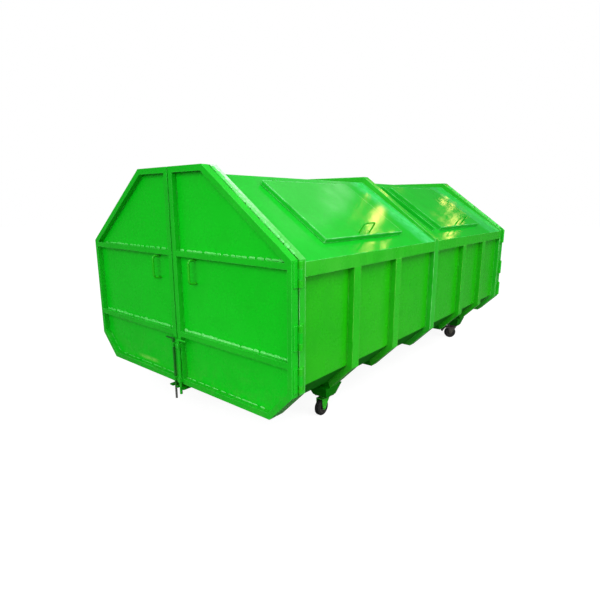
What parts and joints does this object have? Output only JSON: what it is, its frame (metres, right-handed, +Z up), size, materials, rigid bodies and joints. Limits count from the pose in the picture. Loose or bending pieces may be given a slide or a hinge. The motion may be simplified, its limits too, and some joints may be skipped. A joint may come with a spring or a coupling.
{
  "type": "steel waste container",
  "caption": "Roofed steel waste container on swivel casters, with double doors at both ends, hinged hatch lids on the sloping roof and drop bolts.",
  "frame": {"origin": "bottom centre of the bounding box, on the ground", "axes": "X across the body, Y along its length with the pictured doors at -Y, Z up"},
  "size_m": [2.258, 3.96, 1.785],
  "materials": {
    "body_paint": "green gloss enamel, weathered",
    "roof_paint": "green gloss enamel, weathered",
    "under_paint": "green gloss enamel, dusty",
    "bare_steel": "bare steel, dull",
    "worn_steel": "grey-brown, worn and dusty",
    "zinc": "zinc plated",
    "wheel_hub": "grey nylon",
    "tyre": "black solid rubber"
  },
  "bodies": {
    "container": {"floor_sheets": "under_paint", "side_sheets": "body_paint", "left_roof_sheet": "roof_paint", "right_roof_sheet": "roof_paint", "ridge_sheet": "roof_paint", "front_frame": "body_paint", "middle_frame": "body_paint", "back_frame": "body_paint", "side_ribs": "body_paint", "floor_bearers": "under_paint", "shoulder_rails": "body_paint", "hatch_coamings": "body_paint", "lid_hinge_lugs": "body_paint", "door_hinge_posts": "body_paint", "sill_keepers": "body_paint", "drain_outlet": "bare_steel", "caster_pads": "under_paint", "caster_plates": "zinc"},
    "front_left_door": {"front_left_door_frame": "body_paint", "front_left_door_panel": "body_paint", "front_left_door_hinges": "body_paint", "front_left_door_handle": "body_paint"},
    "front_left_bolt": {"front_left_door_bolt": "bare_steel"},
    "front_right_door": {"front_right_door_frame": "body_paint", "front_right_door_panel": "body_paint", "front_right_door_hinges": "body_paint", "front_right_door_handle": "body_paint"},
    "front_right_bolt": {"front_right_door_bolt": "body_paint"},
    "back_left_door": {"back_left_door_frame": "body_paint", "back_left_door_panel": "body_paint", "back_left_door_hinges": "body_paint", "back_left_door_handle": "body_paint"},
    "back_left_bolt": {"back_left_door_bolt": "body_paint"},
    "back_right_door": {"back_right_door_frame": "body_paint", "back_right_door_panel": "body_paint", "back_right_door_hinges": "body_paint", "back_right_door_handle": "body_paint"},
    "back_right_bolt": {"back_right_door_bolt": "bare_steel"},
    "front_left_lid": {"front_left_lid": "roof_paint", "front_left_lid_handle": "body_paint"},
    "front_right_lid": {"front_right_lid": "roof_paint", "front_right_lid_handle": "body_paint"},
    "back_left_lid": {"back_left_lid": "roof_paint", "back_left_lid_handle": "body_paint"},
    "back_right_lid": {"back_right_lid": "roof_paint", "back_right_lid_handle": "body_paint"},
    "front_left_fork": {"front_left_caster_fork": "body_paint"},
    "front_left_wheel": {"front_left_caster_tyre": "tyre", "front_left_caster_hub": "wheel_hub"},
    "front_right_fork": {"front_right_caster_fork": "body_paint"},
    "front_right_wheel": {"front_right_caster_tyre": "tyre", "front_right_caster_hub": "wheel_hub"},
    "back_left_fork": {"back_left_caster_fork": "worn_steel"},
    "back_left_wheel": {"back_left_caster_tyre": "tyre", "back_left_caster_hub": "wheel_hub"},
    "back_left_brake": {"back_left_caster_brake": "worn_steel"},
    "back_right_fork": {"back_right_caster_fork": "worn_steel"},
    "back_right_wheel": {"back_right_caster_tyre": "tyre", "back_right_caster_hub": "wheel_hub"},
    "back_right_brake": {"back_right_caster_brake": "worn_steel"}
  },
  "joints": [
    {"name": "front_left_door_hinge", "type": "hinge", "parent": "container", "child": "front_left_door", "pos_m": [-1.115, -1.888, 0.79], "axis": [0, 0, -1], "range_deg": [0, 180]},
    {"name": "front_left_bolt_slide", "type": "slide", "parent": "front_left_door", "child": "front_left_bolt", "axis": [0, 0, 1], "range_m": [0, 0.15]},
    {"name": "front_right_door_hinge", "type": "hinge", "parent": "container", "child": "front_right_door", "pos_m": [1.115, -1.888, 0.79], "axis": [0, 0, 1], "range_deg": [0, 180]},
    {"name": "front_right_bolt_slide", "type": "slide", "parent": "front_right_door", "child": "front_right_bolt", "axis": [0, 0, 1], "range_m": [0, 0.15]},
    {"name": "back_left_door_hinge", "type": "hinge", "parent": "container", "child": "back_left_door", "pos_m": [-1.115, 1.888, 0.79], "axis": [0, 0, 1], "range_deg": [0, 180]},
    {"name": "back_left_bolt_slide", "type": "slide", "parent": "back_left_door", "child": "back_left_bolt", "axis": [0, 0, 1], "range_m": [0, 0.15]},
    {"name": "back_right_door_hinge", "type": "hinge", "parent": "container", "child": "back_right_door", "pos_m": [1.115, 1.888, 0.79], "axis": [0, 0, -1], "range_deg": [0, 180]},
    {"name": "back_right_bolt_slide", "type": "slide", "parent": "back_right_door", "child": "back_right_bolt", "axis": [0, 0, 1], "range_m": [0, 0.15]},
    {"name": "front_left_lid_hinge", "type": "hinge", "parent": "container", "child": "front_left_lid", "pos_m": [-0.43308, -0.99, 1.69605], "axis": [0, 1, 0], "range_deg": [0, 140]},
    {"name": "front_right_lid_hinge", "type": "hinge", "parent": "container", "child": "front_right_lid", "pos_m": [0.43308, -0.99, 1.69605], "axis": [0, -1, 0], "range_deg": [0, 140]},
    {"name": "back_left_lid_hinge", "type": "hinge", "parent": "container", "child": "back_left_lid", "pos_m": [-0.43308, 0.815, 1.69605], "axis": [0, 1, 0], "range_deg": [0, 140]},
    {"name": "back_right_lid_hinge", "type": "hinge", "parent": "container", "child": "back_right_lid", "pos_m": [0.43308, 0.815, 1.69605], "axis": [0, -1, 0], "range_deg": [0, 140]},
    {"name": "front_left_swivel", "type": "hinge", "parent": "container", "child": "front_left_fork", "pos_m": [-0.83, -1.266, 0.14], "axis": [0, 0, 1], "continuous": true},
    {"name": "front_left_wheel_spin", "type": "hinge", "parent": "front_left_fork", "child": "front_left_wheel", "pos_m": [-0.84424, -1.29797, 0.0625], "axis": [0.9135, -0.4067, 0], "continuous": true},
    {"name": "front_right_swivel", "type": "hinge", "parent": "container", "child": "front_right_fork", "pos_m": [0.83, -1.266, 0.14], "axis": [0, 0, 1], "continuous": true},
    {"name": "front_right_wheel_spin", "type": "hinge", "parent": "front_right_fork", "child": "front_right_wheel", "pos_m": [0.83, -1.301, 0.0625], "axis": [1, 0, 0], "continuous": true},
    {"name": "back_left_swivel", "type": "hinge", "parent": "container", "child": "back_left_fork", "pos_m": [-0.83, 1.266, 0.14], "axis": [0, 0, 1], "continuous": true},
    {"name": "back_left_wheel_spin", "type": "hinge", "parent": "back_left_fork", "child": "back_left_wheel", "pos_m": [-0.79854, 1.25066, 0.0625], "axis": [0.4384, 0.8988, 0], "continuous": true},
    {"name": "back_left_brake_pedal", "type": "hinge", "parent": "back_left_fork", "child": "back_left_brake", "pos_m": [-0.7536, 1.22874, 0.127], "axis": [0.4384, 0.8988, 0], "range_deg": [0, 20]},
    {"name": "back_right_swivel", "type": "hinge", "parent": "container", "child": "back_right_fork", "pos_m": [0.83, 1.266, 0.14], "axis": [0, 0, 1], "continuous": true},
    {"name": "back_right_wheel_spin", "type": "hinge", "parent": "back_right_fork", "child": "back_right_wheel", "pos_m": [0.80319, 1.2435, 0.0625], "axis": [0.6428, -0.766, 0], "continuous": true},
    {"name": "back_right_brake_pedal", "type": "hinge", "parent": "back_right_fork", "child": "back_right_brake", "pos_m": [0.76489, 1.21136, 0.127], "axis": [0.6428, -0.766, 0], "range_deg": [0, 20]}
  ]
}
